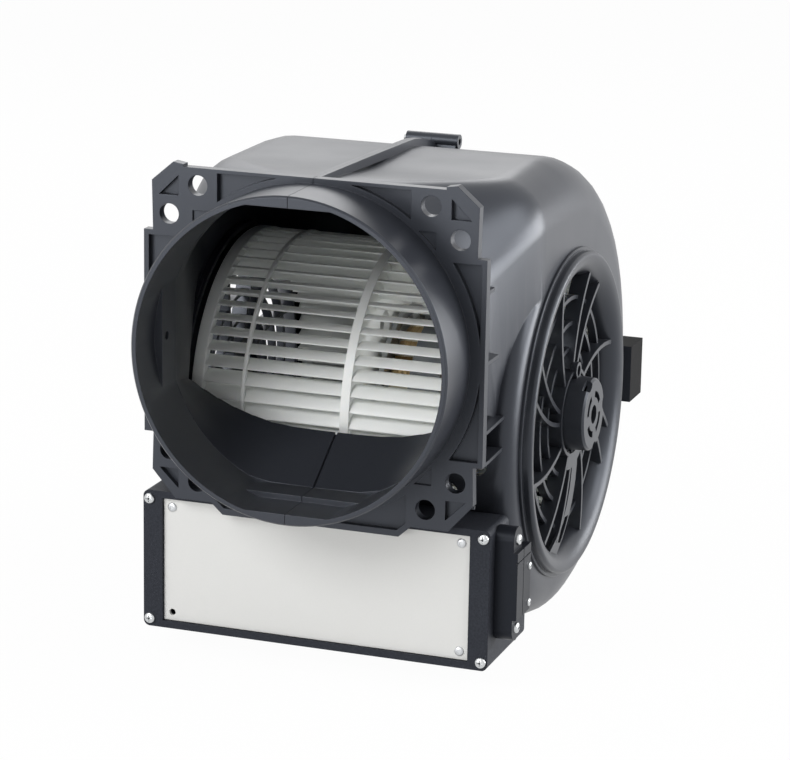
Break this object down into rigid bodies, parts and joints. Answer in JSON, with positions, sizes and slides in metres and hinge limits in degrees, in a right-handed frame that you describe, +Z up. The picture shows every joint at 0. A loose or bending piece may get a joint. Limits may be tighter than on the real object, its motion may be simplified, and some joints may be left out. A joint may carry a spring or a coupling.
{
  "type": "centrifugal blower",
  "caption": "Double-inlet centrifugal blower with a black split scroll housing, round outlet collar, guarded inlets, white drum impeller and a control box below the outlet.",
  "frame": {"origin": "centre of the outlet on the front face of the flange", "axes": "+X along the fan axis to the motor side, -Y the way the air leaves the collar, +Z up"},
  "size_m": [0.1911, 0.274, 0.2332],
  "materials": {
    "housing_plastic": "satin moulded",
    "grille_plastic": "satin moulded",
    "impeller_plastic": "smooth moulded",
    "zinc_steel": "bright zinc plating",
    "ground_steel": "ground",
    "lamination_steel": "stacked sheets",
    "winding_copper": "enamelled copper wire",
    "bracket_alloy": "die cast",
    "sintered_bronze": "oil-filled sintered",
    "damper_rubber": "moulded",
    "box_plastic": "fine-grained",
    "plate_finish": "semi-matt white coating",
    "rivet_steel": "plain",
    "board_laminate": "solder resist",
    "core_paint": "varnished",
    "relay_plastic": "moulded",
    "capacitor_can": "drawn can",
    "strip_plastic": "moulded",
    "cover_plastic": "smooth moulded"
  },
  "bodies": {
    "housing": {"housing_left": "housing_plastic", "housing_right": "housing_plastic", "outlet_left": "housing_plastic", "outlet_right": "housing_plastic", "seam_screws": "zinc_steel", "grille_right": "grille_plastic", "grille_left": "grille_plastic", "stator_core": "lamination_steel", "windings": "winding_copper", "bracket_front": "bracket_alloy", "bracket_rear": "bracket_alloy", "bush_front": "sintered_bronze", "bush_rear": "sintered_bronze", "motor_bolts": "zinc_steel", "motor_damper": "damper_rubber", "motor_screws": "zinc_steel", "control_box": "box_plastic", "box_frame": "box_plastic", "face_plate": "plate_finish", "plate_rivets": "rivet_steel", "frame_screws": "zinc_steel", "control_board": "board_laminate", "transformer": "core_paint", "relays": "relay_plastic", "run_capacitor": "capacitor_can", "terminal_strip": "strip_plastic", "terminal_cover": "cover_plastic", "cover_screws": "zinc_steel"},
    "rotor": {"impeller_left": "impeller_plastic", "impeller_right": "impeller_plastic", "impeller_web": "impeller_plastic", "impeller_nut": "zinc_steel", "shaft": "ground_steel", "rotor_core": "lamination_steel"}
  },
  "joints": [
    {"name": "impeller_spin", "type": "hinge", "parent": "housing", "child": "rotor", "pos_m": [0, 0.119, -0.0505], "axis": [1, 0, 0], "continuous": true}
  ]
}
